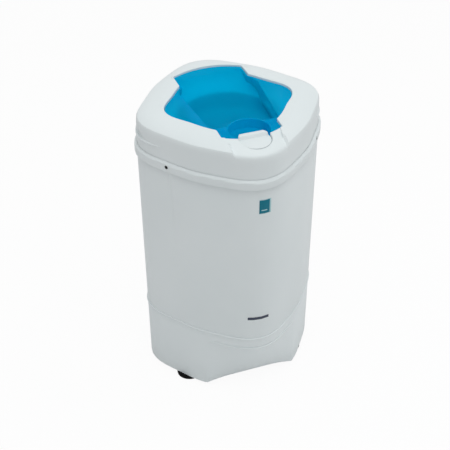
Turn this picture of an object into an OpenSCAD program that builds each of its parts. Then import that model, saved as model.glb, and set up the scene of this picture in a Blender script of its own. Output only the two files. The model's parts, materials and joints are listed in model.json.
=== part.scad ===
// Laundry spin dryer: a rounded square cabinet with one corner facing forwards,
// a spinning basket on a buffered motor, a dished lid and a turning latch that works the brake.
// Millimetres. +Z is up, the front faces -Y, and the origin is on the floor under the middle.

/* [Cabinet] */
// Total height, feet included
total_h = 644; // [630:1:670]
// Reach of the front and back corners at the rim
corner_fb = 203; // [198:1:208]
// Reach of the left and right corners at the rim
corner_lr = 194; // [190:1:200]
// Reach of the flats between the corners
flat_r = 175; // [173:0.5:178]
// How squarely the corners turn
corner_square = 2.5; // [1:0.1:3.5]
// Wall of the mouldings
wall = 3; // [2.5:0.1:3.5]
// How far the body draws in at the floor
taper_in = 5; // [3:0.5:7]
// How far the body stands out below the lip
shell_out = 2; // [1:0.5:3]

/* [Base] */
// Height of the skirt's lower edge
skirt_z = 8; // [6:0.5:12]
// Height of the seam between base and body
seam_z = 165; // [155:1:180]
// Height where the front and back scoops begin
scoop_z = 137; // [125:1:145]
// Distance of the scoops' lower edges from the middle
scoop_chord = 139; // [135:1:145]
// Rise of the arch under each scoop
arch_rise = 15; // [10:1:18]
// Top of the floor inside the base
floor_z = 31; // [30:0.5:34]
// Height of the upstand that the body shell slips over
upstand_h = 10; // [6:1:14]

/* [Feet] */
// Foot radius
foot_r = 28; // [24:0.5:29]
// Foot distance from the middle, sideways
foot_x = 120; // [117:0.5:121]
// Foot distance from the middle, front to back
foot_y = 73.5; // [72:0.5:75]
// Radius of the pillar above each foot
pillar_r = 16; // [13:0.5:16]

/* [Cap] */
// Height of the cap, from the lip's lower edge to the rim
cap_h = 87; // [82:1:92]
// Height of the lip band
lip_h = 20; // [18:1:24]
// How far the lip stands out past the rim
lip_out = 7; // [6:0.5:9]
// Rise of the crown from the outer edge to the opening
crown_h = 14; // [10:1:16]
// Width of the crown
crown_w = 50; // [46:1:52]
// Depth of the hand grips at the left and right corners
grip_depth = 5; // [3:0.5:6]
// Radius of the hand grips
grip_r = 9; // [7:0.5:10]

/* [Opening] */
// Inset of the opening's side lobes from the rim
lobe_inset = 57; // [55:1:60]
// Radius of the latch ear at the front
ear_front_r = 147; // [145:0.5:149]
// Half width of the latch ear
ear_front_w = 64; // [62:1:68]
// Radius of the hinge ear at the back
ear_back_r = 154; // [152:0.5:156]
// Half width of the hinge ear
ear_back_w = 77; // [75:1:79]
// Depth of the lid's seat below the rim
seat_drop = 49; // [47:1:54]
// Radius of the throat
throat_r = 95; // [88:1:98]

/* [Lid] */
// Gap around the lid
lid_gap = 2; // [1.5:0.1:2.5]
// Thickness of the lid
lid_t = 3; // [2.5:0.1:3.5]
// Depth of the lid's top below the rim
lid_drop = 3.5; // [3:0.1:4]
// Depth of the recess in the lid
recess_depth = 35; // [28:1:36]
// Half width of the recess at the front
recess_front_w = 72; // [68:1:76]
// Half width of the recess in the middle
recess_mid_w = 86; // [82:1:88]
// Radius of the finger well behind the latch
well_r = 42; // [40:0.5:43]
// Radius of the hinge pins
hinge_pin_r = 1.8; // [1.5:0.1:2]
// Hinge axis distance behind the middle
hinge_y = 128; // [126:0.5:129]

/* [Latch] */
// Inset of the latch's axis from the front corner
latch_inset = 55; // [53:0.5:57]
// Radius of the latch knob
latch_r = 32.5; // [30:0.5:33]
// Height of the latch platform's outer edge below the crown's
platform_drop = 15; // [14.5:0.1:16]
// Rise of the latch platform from the front edge to the lid
platform_rise = 11; // [9:0.5:11]
// Radius of the latch platform's rounded outer edge
platform_edge_r = 9; // [7:0.5:10]
// Half width of the latch platform
platform_w = 58; // [54:1:60]
// Thickness of the half disc of the knob
latch_t = 11.9; // [10.5:0.1:12.4]
// Distance of the grip bar's back from the latch's axis
bar_d = 21; // [19:0.5:22]
// Radius of the latch shaft
latch_shaft_r = 6; // [5:0.5:7]

/* [Drum] */
// Outer radius of the basket
drum_r = 118; // [112:1:124]
// Wall of the basket
drum_wall = 1.6; // [1.2:0.1:2]
// Inner radius of the balance ring
mouth_r = 92; // [86:1:96]
// Columns of drain holes
hole_columns = 12; // [8:1:14]
// Rows of drain holes
hole_rows = 6; // [4:1:7]
// Outer radius of the tub
tub_r = 150; // [146:1:154]
// Radius of the shaft
shaft_r = 8; // [7:0.5:9]

/* [Motor] */
// Radius of the stator
stator_r = 62; // [58:1:66]
// Length of the stator
stator_h = 60; // [54:1:62]
// Radius of the rotor
rotor_r = 38; // [34:1:42]
// Height of the rubber buffers
buffer_h = 30; // [26:1:32]
// Distance of the buffers from the shaft
buffer_pcd_r = 112; // [108:1:116]
// Radius of the brake disc
brake_r = 50; // [46:1:54]

/* [Drain and cord] */
// Outer radius of the drain spigot
spigot_r = 10; // [8:0.5:11]
// Wall of the drain pipes
pipe_wall = 2.5; // [2:0.1:3]
// Drain distance behind the middle
drain_y = 128; // [124:1:130]
// Radius of the cord gland's bore
cord_r = 3.5; // [3:0.1:4.5]

/* [Front] */
// Width of the label
label_w = 25; // [20:1:32]
// Height of the label
label_h = 34; // [28:1:40]
// Distance of the label's middle below the cap
label_drop = 44; // [30:1:80]
// Width of the badge
badge_w = 46; // [36:1:56]
// Height of the badge
badge_h = 7; // [5:0.5:10]
// Distance of the badge's middle above the seam
badge_rise = 57; // [30:1:85]

/* [Hidden] */
$fn = 64;
RING_POINTS = 72;
FIT = 0.3;
RUN = 0.06;
EPS = 0.01;

// plan outline: distance from the middle at angle t, counted from the front
a2 = (corner_fb - corner_lr) / 2;
a4 = ((corner_fb + corner_lr) / 2 - flat_r) / 2;
mean_r = (corner_fb + corner_lr) / 2 - a4 - corner_square;
function outline_r(t) = mean_r + a2 * cos(2 * t) + a4 * cos(4 * t) + corner_square * cos(8 * t);
function outline(grow) = [
    for (i = [0 : RING_POINTS - 1])
        let (t = 360 * i / RING_POINTS, r = outline_r(t) + grow)
        [r * sin(t), -r * cos(t)]
];

// heights, from the rim down
lip_z = total_h - cap_h;
shell_top = lip_z + lip_h - 2;
flange_t = 3;
flange_top = shell_top + flange_t;
rim_edge_z = total_h - crown_h;
seat_top = total_h - seat_drop;
lid_top = total_h - lid_drop;
platform_z = total_h - platform_drop;
function body_grow(z) = -taper_in + (shell_out + taper_in) * z / lip_z;
lip_inner = body_grow(shell_top) + FIT;
label_z = lip_z - label_drop;
badge_z = seam_z + badge_rise;

// heights, from the floor up
boss_h = 5;
buffer_z = floor_z + boss_h;
cradle_z = buffer_z + buffer_h;
cradle_t = 4;
bell_z = cradle_z + cradle_t;
bell_h = 25;
stator_z = bell_z + bell_h;
upper_bell_z = stator_z + stator_h;
upper_bell_h = 27;
brake_z = upper_bell_z + upper_bell_h + 4;
brake_t = 10;
tub_floor_z = brake_z + brake_t + 9;
collar_h = 14;
drum_floor_z = tub_floor_z + wall + collar_h + 6;
hub_t = 3.5;
hub_r = 45;
hub_cone_h = 28;
hub_nut_h = 10;
fan_z = floor_z + 13;
fan_h = 14;

// throat and drum mouth
throat_flange_t = 2;
throat_drop = 44;
throat_z = seat_top - throat_drop;
drum_gap = 3;
ring_lip = 2;
drum_top = throat_z - drum_gap - ring_lip;
ring_h = 24;

// lid
latch_y = -(corner_fb - latch_inset);
recess_floor = lid_top - recess_depth;
recess_front_y = latch_y + 55;
recess_mid_y = 60;
recess_slope_y = 30;
recess_back_y = 118;
recess_back_w = ear_back_w - 7;
field_y = latch_y + 45;
hinge_boss_r = hinge_pin_r + 2.2;
hinge_z = lid_top - hinge_boss_r;
hinge_boss_len = 14;
hinge_pin_len = 24;

// latch
pocket_r = latch_r + 1.5;
disc_top = platform_z + 3.5;
knob_z = disc_top - latch_t;
well_y = latch_y + 30;
well_floor = knob_z - 0.6;
tongue_t = 10;
tongue_r = pocket_r - 4;
tongue_z = well_floor - tongue_t;
cam_t = 3;
cam_z = tongue_z - 0.6 - cam_t;
cam_r = tongue_r - 3;
lobe_h = 4;
lobe_half_angle = 22;
latch_end_z = cam_z - lobe_h - 0.5;
latch_screw_r = 2;
bar_top = total_h - 4;
bar_foot_y = 7;
bar_edge_y = 11.5;

// brake and switch
rod_r = 2.5;
rod_y = -max(cam_r - 3 - latch_y, tub_r + rod_r + 3);
rod_travel = 6;
rod_tip_z = cam_z - lobe_h - 2;
rod_collar_r = 5;
rod_collar_z = flange_top + 1.5;
rod_collar_h = 5.5;
pivot_z = brake_z - 14;
pivot_y = -(stator_r + 13);
pivot_r = 3;
lever_half = 4;
cheek_gap = 1.2;
cheek_half = 9;
shoe_gap = 1.6;
yoke_pin_r = 3;
switch_x = 9;

// drain, cord and fasteners
elbow_z = 45;
elbow_neck = 35;
tub_neck = 25;
hose_lap = 20;
spigot_stop_y = scoop_y(elbow_z + spigot_r + pipe_wall) + 2;
spigot_stop_t = 2.5;
spigot_end = spigot_stop_y + spigot_stop_t + 21;
gland_r = cord_r + 3;
gland_nut_r = gland_r + 3.5;
gland_z = seam_z - upstand_h - gland_nut_r - 1;
gland_y = corner_fb + body_grow(seam_z);
gland_nut_h = 4.5;
gland_nut_in = wall + 1 + scoop_share(gland_z - gland_nut_r) * (corner_fb - scoop_chord);
cap_screw_angles = [63, 117, 243, 297];
cap_screw_z = lip_z + lip_h / 2;
cap_screw_r = 2;
cap_screw_head_r = 3.8;
foot_screw_r = 2.5;
foot_screw_len = 16;
buffer_angles = [30, 150, 270];
bolt_r = 4;
buffer_r = 16;
foot_places = [[-1, -1], [1, -1], [-1, 1], [1, 1]];

// ---- shared shapes ----

// a closed skin through rings of points round the Z axis, each [points, height]
module loft(rings) {
    n = len(rings[0][0]);
    m = len(rings);
    polyhedron(
        points = concat(
            [for (ring = rings) for (p = ring[0]) [p[0], p[1], ring[1]]],
            [[0, 0, rings[0][1]], [0, 0, rings[m - 1][1]]]),
        faces = concat(
            [for (i = [0 : n - 1]) [i, (i + 1) % n, n * m]],
            [for (i = [0 : n - 1]) [(m - 1) * n + (i + 1) % n, (m - 1) * n + i, n * m + 1]],
            [for (j = [0 : m - 2]) for (i = [0 : n - 1])
                [j * n + i, (j + 1) * n + i, (j + 1) * n + (i + 1) % n]],
            [for (j = [0 : m - 2]) for (i = [0 : n - 1])
                [j * n + i, (j + 1) * n + (i + 1) % n, j * n + (i + 1) % n]]
        ));
}

// a closed wall through rings of points, up the outside and down the inside, the last joined to the first
module wall_loft(rings) {
    n = len(rings[0][0]);
    m = len(rings);
    polyhedron(
        points = [for (ring = rings) for (p = ring[0]) [p[0], p[1], ring[1]]],
        faces = [
            for (j = [0 : m - 1]) for (i = [0 : n - 1])
                let (a = j * n, b = (j + 1) % m * n, k = (i + 1) % n)
                each [[a + i, b + i, b + k], [a + i, b + k, a + k]]
        ]);
}

module tube(outer, inner, h) {
    difference() {
        cylinder(r = outer, h = h);
        translate([0, 0, -1]) cylinder(r = inner, h = h + 2);
    }
}

module slab(grow, z, h) {
    translate([0, 0, z]) linear_extrude(h) polygon(outline(grow));
}

module around_buffers() {
    for (a = buffer_angles) rotate([0, 0, a]) translate([buffer_pcd_r, 0, 0]) children();
}

module at_feet() {
    for (f = foot_places) translate([f[0] * foot_x, f[1] * foot_y, 0]) children();
}

// along +X inwards from the cap's outer face at each side screw, origin on the face
module at_cap_screws() {
    for (t = cap_screw_angles)
        rotate([0, 0, t - 90])
            translate([outline_r(t) + lip_out, 0, cap_screw_z])
                rotate([0, -90, 0]) children();
}

// the opening in the cap, grown all round; the latch pocket is left out of the lid's own outline
module opening(grow, with_pocket) {
    polygon(outline(grow - lobe_inset));
    intersection() {
        circle(r = ear_front_r + grow, $fn = 128);
        translate([-ear_front_w - grow, -ear_front_r * 1.1]) square([2 * (ear_front_w + grow), ear_front_r * 1.1]);
    }
    intersection() {
        circle(r = ear_back_r + grow, $fn = 128);
        translate([-ear_back_w - grow, 0]) square([2 * (ear_back_w + grow), ear_back_r * 1.1]);
    }
    if (with_pocket) translate([0, latch_y]) circle(r = pocket_r + grow);
}

// ---- base ----

function clamp(v, limit) = max(-limit, min(limit, v));
function scoop_share(z) = z >= scoop_z ? 0 : (scoop_z - z) / (scoop_z - skirt_z);
function scoop_y(z) = let (reach = corner_fb + body_grow(z)) reach + scoop_share(z) * (scoop_chord - reach);
// the outline with the points next to the scoops' corners turned onto them
function corner_angle(t) = abs(abs(t) - 35) < 1 ? sign(t) * 36.4 : t;
function base_outline(grow) = [
    for (i = [0 : RING_POINTS - 1])
        let (a = 360 * i / RING_POINTS, half_turn = round(a / 180) * 180,
            t = half_turn + corner_angle(a - half_turn), r = outline_r(t) + grow)
        [r * sin(t), -r * cos(t)]
];
function base_ring(grow, z, chord) = [
    for (p = base_outline(body_grow(z) + grow))
        [p[0], p[1] + scoop_share(z) * (clamp(p[1], chord) - p[1])]
];
function base_heights() = concat([for (i = [0 : 4]) skirt_z + (scoop_z - skirt_z) * i / 4], [seam_z]);
function base_wall_rings() = let (heights = base_heights(), top = len(heights) - 1) concat(
    [for (i = [0 : top]) [base_ring(0, heights[i], scoop_chord), heights[i]]],
    [for (i = [top : -1 : 0]) [base_ring(-wall, heights[i], scoop_chord - wall), heights[i]]]
);

module arch_cut() {
    half = foot_x - pillar_r;
    r = (half * half + arch_rise * arch_rise) / (2 * arch_rise);
    translate([0, 0, skirt_z + arch_rise + 1 - r])
        rotate([90, 0, 0]) cylinder(r = r, h = 3 * corner_fb, center = true, $fn = 256);
}

module base() {
    color("gainsboro") difference() {
        union() {
            wall_loft(base_wall_rings());
            translate([0, 0, floor_z - wall]) linear_extrude(wall)
                polygon(base_ring(-wall / 2, floor_z - wall / 2, scoop_chord - wall / 2));
            difference() {
                union() {
                    slab(body_grow(seam_z) - wall / 2, seam_z - upstand_h, upstand_h - EPS);
                    slab(body_grow(seam_z) - wall - FIT, seam_z - upstand_h, 2 * upstand_h);
                }
                slab(body_grow(seam_z) - 2 * wall - FIT, seam_z - upstand_h - 1, 2 * upstand_h + 2);
            }
            at_feet() translate([0, 0, skirt_z]) cylinder(r = pillar_r, h = floor_z - skirt_z);
            around_buffers() translate([0, 0, floor_z - EPS]) cylinder(r = buffer_r + 2, h = boss_h + EPS);
        }
        at_feet() translate([0, 0, -1]) cylinder(r = foot_screw_r, h = floor_z - wall);
        around_buffers() cylinder(r = bolt_r + 0.2, h = buffer_z + 1);
        arch_cut();
        translate([0, scoop_chord - 20, elbow_z]) rotate([-90, 0, 0]) cylinder(r = spigot_r + 0.6, h = 90);
        translate([0, gland_y - 20, gland_z]) rotate([-90, 0, 0]) cylinder(r = gland_r + 0.2, h = 30);
        for (a = [0 : 30 : 330])
            rotate([0, 0, a]) translate([30, -2, floor_z - wall - 1]) cube([30, 4, wall + 2]);
    }
}

module foot() {
    color("#1c1c1e") difference() {
        union() {
            cylinder(r = foot_r, h = skirt_z - 2);
            translate([0, 0, skirt_z - 2 - EPS]) cylinder(r = foot_r - 2, h = 2 + EPS);
        }
        translate([0, 0, -1]) cylinder(r = foot_screw_r + 0.1, h = skirt_z + 2);
        translate([0, 0, -1]) cylinder(r = foot_screw_r + 3.5, h = skirt_z / 2 + 1);
    }
}

module foot_screws() {
    color("silver") at_feet() {
        translate([0, 0, skirt_z / 2 - 3]) cylinder(r = foot_screw_r + 2.5, h = 3);
        translate([0, 0, skirt_z / 2 - EPS]) cylinder(r = foot_screw_r, h = foot_screw_len);
    }
}

// ---- body shell ----

module shell() {
    color("whitesmoke") difference() {
        wall_loft([[outline(body_grow(seam_z)), seam_z], [outline(body_grow(shell_top)), shell_top],
            [outline(body_grow(shell_top) - wall), shell_top], [outline(body_grow(seam_z) - wall), seam_z]]);
        at_cap_screws() cylinder(r = cap_screw_r, h = 20);
    }
}

// ---- cap ----

function crown_z(inset) = rim_edge_z + crown_h * (1 - pow((crown_w - inset) / crown_w, 3));
cap_rings = concat(
    [[outline(lip_out), lip_z],
     [outline(lip_out), lip_z + lip_h - 3],
     [outline(lip_out - 1.5), lip_z + lip_h],
     [outline(lip_out - 4), lip_z + lip_h + 1],
     [outline(1), rim_edge_z - 18],
     [outline(1), rim_edge_z - 8],
     [outline(0.3), rim_edge_z - 3]],
    [for (s = [2, 7, 14, 23, 34, crown_w]) [outline(-s), crown_z(s)]]
);
cap_inner_rings = [
    [outline(lip_inner), lip_z - 1],
    [outline(lip_inner), flange_top],
    [outline(-1), flange_top],
    [outline(-1 - wall), rim_edge_z - 14],
    [outline(-1 - wall), rim_edge_z - 6],
    [outline(-14), crown_z(14) - 1.2 * wall],
    [outline(-25), crown_z(25) - wall],
    [outline(-crown_w), total_h - wall]
];

module grip(extra) {
    for (s = [-1, 1])
        translate([s * (corner_lr + 1 + grip_r - grip_depth), 0, rim_edge_z - 22])
            rotate([90, 0, 0]) cylinder(r = grip_r + extra, h = corner_lr, center = true);
}

module hinge_axis(from_x, r, length) {
    translate([from_x, hinge_y, hinge_z]) rotate([0, 90, 0]) cylinder(r = r, h = length);
}

// what lies under the latch platform: a slope down from the lid to the front, which turns down
// more steeply towards the sides and is rounded over at the outer edge
module under_platform() {
    slope = platform_rise / (corner_fb - ear_front_r);
    edge_z = platform_z + 2 - platform_edge_r;
    intersection() {
        rotate([90, 0, 90]) linear_extrude(3 * platform_w, center = true) polygon([
            [-corner_fb - 20, platform_z - 20 * slope], [0, platform_z + corner_fb * slope],
            [0, seat_top], [-corner_fb - 20, seat_top]]);
        loft(concat(
            [[outline(1.2), seat_top - 1], [outline(1.2), edge_z - 8]],
            [for (a = [0 : 22.5 : 67.5])
                [outline(platform_edge_r * (cos(a) - 1)), edge_z + platform_edge_r * sin(a)]],
            [[outline(-platform_edge_r - 2), platform_z + 2.5], [outline(-40), platform_z + 14],
                [outline(-60), platform_z + 22]]));
    }
}

module above_platform(down, half) {
    difference() {
        translate([-half, -corner_fb - 20, platform_z - 16 - down])
            cube([2 * half, corner_fb + 40 - ear_front_r, 60]);
        translate([0, 0, -down]) under_platform();
    }
}

module top_frame() {
    boss_x = ear_back_w - EPS;
    color("whitesmoke") difference() {
        union() {
            difference() {
                loft(cap_rings);
                difference() {
                    loft(cap_inner_rings);
                    above_platform(1.2 * wall, platform_w + wall);
                }
            }
            translate([0, 0, seat_top - wall]) linear_extrude(seat_drop + wall - 1) opening(wall, true);
            intersection() {
                grip(wall);
                slab(0, rim_edge_z - 40, 40);
            }
            hinge_axis(boss_x, hinge_boss_r, 12);
            hinge_axis(-boss_x - 12, hinge_boss_r, 12);
        }
        translate([0, 0, seat_top]) linear_extrude(seat_drop + 10) opening(0, true);
        translate([0, 0, seat_top - 2 * wall]) cylinder(r = throat_r + wall + FIT, h = 3 * wall, $fn = 96);
        above_platform(0, platform_w);
        hinge_axis(-ear_back_w - hinge_pin_len / 2, hinge_pin_r, 2 * ear_back_w + hinge_pin_len);
        grip(0);
        at_cap_screws() {
            translate([0, 0, -3]) cylinder(r = cap_screw_head_r + 0.2, h = 4.5);
            cylinder(r = cap_screw_r, h = 20);
        }
        translate([0, rod_y, seat_top - 2 * wall]) cylinder(r = rod_r + 0.6, h = 3 * wall);
    }
}

module frame_screws() {
    color("#2b2b2b") at_cap_screws() {
        translate([0, 0, -0.5]) cylinder(r = cap_screw_head_r, h = 2);
        translate([0, 0, 1.5 - EPS]) cylinder(r = cap_screw_r, h = 12);
    }
}

module throat_ring() {
    color("dimgray") {
        translate([0, 0, throat_z]) tube(throat_r + wall, throat_r, seat_top + throat_flange_t - throat_z);
        translate([0, 0, seat_top]) tube(throat_r + wall + 8, throat_r, throat_flange_t);
    }
}

module hinge_pin(side) {
    color("silver")
        hinge_axis(side > 0 ? ear_back_w - hinge_pin_len / 2 : -ear_back_w - hinge_pin_len / 2,
            hinge_pin_r, hinge_pin_len);
}

// ---- lid ----

module recess_plan(grow) {
    front_w = recess_front_w + grow;
    mid_w = recess_mid_w + grow;
    back_w = recess_back_w + grow;
    front_y = recess_front_y - grow;
    back_y = recess_back_y + grow;
    polygon([[-front_w, front_y], [front_w, front_y], [mid_w, recess_mid_y],
        [back_w, back_y], [-back_w, back_y], [-mid_w, recess_mid_y]]);
}

module recess(grow, top) {
    intersection() {
        rotate([90, 0, 90]) linear_extrude(4 * recess_mid_w, center = true) polygon([
            [recess_front_y - grow, top], [recess_front_y - grow, recess_floor - grow],
            [recess_slope_y, recess_floor - grow], [recess_back_y + grow, lid_top - lid_t],
            [recess_back_y + grow, top]]);
        translate([0, 0, recess_floor - 20]) linear_extrude(100) difference() {
            intersection() {
                recess_plan(grow);
                opening(grow - lid_t - lid_gap, false);
            }
            translate([0, well_y]) circle(r = well_r + lid_t - grow);
        }
    }
}

module lid_outline(z, h) {
    translate([0, 0, z]) linear_extrude(h) opening(-lid_gap, false);
}

module lid() {
    boss_from = ear_back_w - lid_gap - hinge_boss_len;
    color("deepskyblue", 0.6) difference() {
        union() {
            lid_outline(lid_top - lid_t, lid_t);
            recess(lid_t, lid_top);
            intersection() {
                lid_outline(platform_z - 4, lid_top - platform_z + 4);
                translate([-platform_w - lid_t, -corner_fb, 0])
                    cube([2 * (platform_w + lid_t), corner_fb + field_y + lid_t, total_h]);
            }
            intersection() {
                translate([0, well_y, recess_floor - lid_t])
                    cylinder(r = well_r + lid_t, h = lid_top - recess_floor + lid_t);
                lid_outline(recess_floor - lid_t, 80);
            }
            translate([0, latch_y, tongue_z]) cylinder(r = tongue_r, h = tongue_t);
            hinge_axis(boss_from, hinge_boss_r, hinge_boss_len);
            hinge_axis(-boss_from - hinge_boss_len, hinge_boss_r, hinge_boss_len);
        }
        recess(0, lid_top + 1);
        translate([-platform_w, -corner_fb, platform_z]) cube([2 * platform_w, corner_fb + field_y, 40]);
        translate([0, well_y, well_floor]) cylinder(r = well_r, h = 60);
        translate([0, latch_y, well_floor]) cylinder(r = pocket_r, h = 60);
        translate([0, well_y, recess_floor - lid_t - 1]) cylinder(r = well_r, h = tongue_z - recess_floor + lid_t + 1);
        translate([0, latch_y, recess_floor - lid_t - 1])
            cylinder(r = cam_r + 3, h = tongue_z - recess_floor + lid_t + 1);
        translate([0, latch_y, tongue_z - 1]) cylinder(r = latch_shaft_r + RUN, h = tongue_t + 2);
        hinge_axis(-ear_back_w, hinge_pin_r + RUN, 2 * ear_back_w);
    }
}

// ---- latch ----

module latch_knob() {
    color("white") translate([0, latch_y, 0]) difference() {
        union() {
            intersection() {
                translate([0, 0, knob_z]) cylinder(r = latch_r, h = bar_top - knob_z);
                rotate([90, 0, 90]) linear_extrude(2 * latch_r, center = true) polygon([
                    [-latch_r, knob_z], [bar_d, knob_z], [bar_d, bar_top], [bar_edge_y, bar_top],
                    [bar_foot_y, disc_top], [-latch_r, disc_top]]);
            }
            translate([0, 0, latch_end_z]) cylinder(r = latch_shaft_r, h = knob_z - latch_end_z + EPS);
        }
        translate([0, 0, latch_end_z - 1]) cylinder(r = latch_screw_r, h = 15);
    }
}

module latch_cam() {
    color("dimgray") translate([0, latch_y, 0]) difference() {
        union() {
            translate([0, 0, cam_z]) cylinder(r = cam_r, h = cam_t);
            translate([0, 0, latch_end_z]) cylinder(r = latch_shaft_r + 5, h = cam_z - latch_end_z + EPS);
            intersection() {
                translate([0, 0, cam_z - lobe_h]) cylinder(r = cam_r, h = lobe_h + EPS);
                translate([0, 0, cam_z - lobe_h]) linear_extrude(lobe_h + EPS) polygon([[0, 0],
                    [-2 * cam_r * sin(lobe_half_angle), -2 * cam_r * cos(lobe_half_angle)],
                    [2 * cam_r * sin(lobe_half_angle), -2 * cam_r * cos(lobe_half_angle)]]);
            }
        }
        translate([0, 0, latch_end_z - 1]) cylinder(r = latch_shaft_r, h = 30);
    }
}

module latch_screw() {
    color("silver") translate([0, latch_y, latch_end_z]) {
        translate([0, 0, -2.5]) cylinder(r = latch_shaft_r + 2, h = 2.5);
        translate([0, 0, -EPS]) cylinder(r = latch_screw_r, h = 12);
    }
}

// ---- tub and drain ----

module tub() {
    color("lightsteelblue") difference() {
        union() {
            translate([0, 0, tub_floor_z]) cylinder(r = tub_r, h = flange_top - tub_floor_z, $fn = 96);
            slab(body_grow(shell_top), shell_top, flange_t);
            translate([0, drain_y, tub_floor_z - tub_neck]) cylinder(r = spigot_r, h = tub_neck + EPS);
        }
        difference() {
            translate([0, 0, tub_floor_z + wall]) cylinder(r = tub_r - wall, h = total_h, $fn = 96);
            translate([0, 0, tub_floor_z]) cylinder(r = shaft_r + 22, h = wall + collar_h);
        }
        translate([0, 0, tub_floor_z - 1]) cylinder(r = shaft_r + 18, h = wall + collar_h + 2);
        translate([0, drain_y, tub_floor_z - tub_neck - 1]) cylinder(r = spigot_r - pipe_wall, h = tub_neck + wall + 2);
        translate([0, rod_y, shell_top - 1]) cylinder(r = rod_r + 0.6, h = flange_t + 2);
    }
}

module shaft_seal() {
    z = tub_floor_z + wall;
    color("#222222") difference() {
        union() {
            translate([0, 0, z]) cylinder(r = shaft_r + 18, h = collar_h - 2);
            translate([0, 0, tub_floor_z - 2]) cylinder(r = shaft_r + 10, h = wall + 2 + EPS);
        }
        translate([0, 0, tub_floor_z - 3]) cylinder(r = shaft_r + 0.1, h = wall + collar_h + 4);
        translate([0, 0, z + 3]) tube(shaft_r + 14, shaft_r + 5, collar_h);
    }
}

module drain_hose() {
    color("#333333") translate([0, drain_y, elbow_z + elbow_neck])
        tube(spigot_r + pipe_wall, spigot_r + 0.05, tub_floor_z - tub_neck + hose_lap - elbow_z - elbow_neck);
}

module drain_elbow() {
    length = spigot_end - drain_y;
    color("#333333") difference() {
        union() {
            translate([0, drain_y, elbow_z]) cylinder(r = spigot_r, h = elbow_neck + hose_lap);
            translate([0, drain_y, elbow_z + elbow_neck - 3]) cylinder(r = spigot_r + pipe_wall, h = 3);
            translate([0, drain_y, elbow_z]) rotate([-90, 0, 0]) cylinder(r = spigot_r, h = length);
            translate([0, spigot_stop_y, elbow_z]) rotate([-90, 0, 0])
                cylinder(r = spigot_r + pipe_wall, h = spigot_stop_t);
            translate([0, drain_y, elbow_z]) sphere(r = spigot_r);
            translate([-5, drain_y - 5, floor_z]) cube([10, 10, elbow_z - floor_z - spigot_r / 2]);
        }
        translate([0, drain_y, elbow_z]) cylinder(r = spigot_r - pipe_wall, h = elbow_neck + hose_lap + 5);
        translate([0, drain_y, elbow_z]) rotate([-90, 0, 0]) cylinder(r = spigot_r - pipe_wall, h = length + 5);
    }
}

// ---- suspension and motor ----

module buffer(angle) {
    color("#202020") rotate([0, 0, angle]) translate([buffer_pcd_r, 0, buffer_z]) difference() {
        union() {
            cylinder(r = buffer_r, h = buffer_h / 3);
            translate([0, 0, buffer_h / 3 - EPS]) cylinder(r = buffer_r - 3, h = buffer_h / 3 + 2 * EPS);
            translate([0, 0, 2 * buffer_h / 3]) cylinder(r = buffer_r, h = buffer_h / 3);
        }
        translate([0, 0, -1]) cylinder(r = bolt_r + 0.2, h = buffer_h + 2);
    }
}

module buffer_bolts() {
    color("silver") around_buffers() {
        translate([0, 0, bell_z]) cylinder(r = 2 * bolt_r, h = 5, $fn = 6);
        translate([0, 0, floor_z - wall - 8]) cylinder(r = bolt_r, h = bell_z - floor_z + wall + 8 + EPS);
    }
}

module buffer_nuts() {
    color("silver") around_buffers() translate([0, 0, floor_z - wall - 6]) difference() {
        cylinder(r = 2 * bolt_r, h = 6, $fn = 6);
        translate([0, 0, -1]) cylinder(r = bolt_r + 0.05, h = 8);
    }
}

module motor_cradle() {
    color("slategray") translate([0, 0, cradle_z]) difference() {
        union() {
            cylinder(r = stator_r + 8, h = cradle_t);
            for (a = buffer_angles) rotate([0, 0, a]) translate([0, -18, 0]) cube([buffer_pcd_r, 36, cradle_t]);
            around_buffers() cylinder(r = 18, h = cradle_t);
        }
        around_buffers() translate([0, 0, -1]) cylinder(r = bolt_r + 0.2, h = cradle_t + 2);
        translate([0, 0, -1]) cylinder(r = 26, h = cradle_t + 2);
        at_motor_bolts() translate([0, 0, -1]) cylinder(r = 2.6, h = cradle_t + 2);
    }
}

module at_motor_bolts() {
    for (a = [0, 120, 240]) rotate([0, 0, a]) translate([stator_r - 14, 0, 0]) children();
}

module motor_bolts() {
    color("silver") at_motor_bolts() {
        translate([0, 0, cradle_z - 3.5]) cylinder(r = 5, h = 3.5, $fn = 6);
        translate([0, 0, cradle_z - EPS]) cylinder(r = 2.5, h = cradle_t + 7);
    }
}

bearing_r = 2 * shaft_r;
bearing_h = 10;

module motor_bell_lower() {
    color("silver") translate([0, 0, bell_z]) difference() {
        cylinder(r = stator_r, h = bell_h);
        translate([0, 0, 8]) tube(stator_r - 4, bearing_r + 4, bell_h);
        translate([0, 0, 8 + bearing_h]) cylinder(r = bearing_r + 5, h = bell_h);
        translate([0, 0, 6]) cylinder(r = bearing_r + 0.05, h = bell_h);
        translate([0, 0, -1]) cylinder(r = shaft_r + 2, h = bell_h);
        at_motor_bolts() translate([0, 0, -1]) cylinder(r = 2.5, h = 9);
    }
}

module motor_bell_upper() {
    color("silver") translate([0, 0, upper_bell_z]) difference() {
        cylinder(r = stator_r, h = upper_bell_h);
        translate([0, 0, -8]) tube(stator_r - 4, bearing_r + 4, upper_bell_h);
        translate([0, 0, -1]) cylinder(r = bearing_r + 5, h = upper_bell_h - 8 - bearing_h + 1);
        translate([0, 0, -1]) cylinder(r = bearing_r + 0.05, h = upper_bell_h - 5);
        cylinder(r = shaft_r + 2, h = upper_bell_h + 1);
    }
}

module bearing(z) {
    color("silver") translate([0, 0, z]) difference() {
        cylinder(r = bearing_r, h = bearing_h);
        translate([0, 0, -1]) cylinder(r = shaft_r + RUN, h = bearing_h + 2);
        for (side = [-1, bearing_h - 1])
            translate([0, 0, side]) tube(bearing_r - 3, shaft_r + 3, 2);
    }
}

lower_bearing_z = bell_z + 6;
upper_bearing_z = upper_bell_z + upper_bell_h - 6 - bearing_h;

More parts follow.
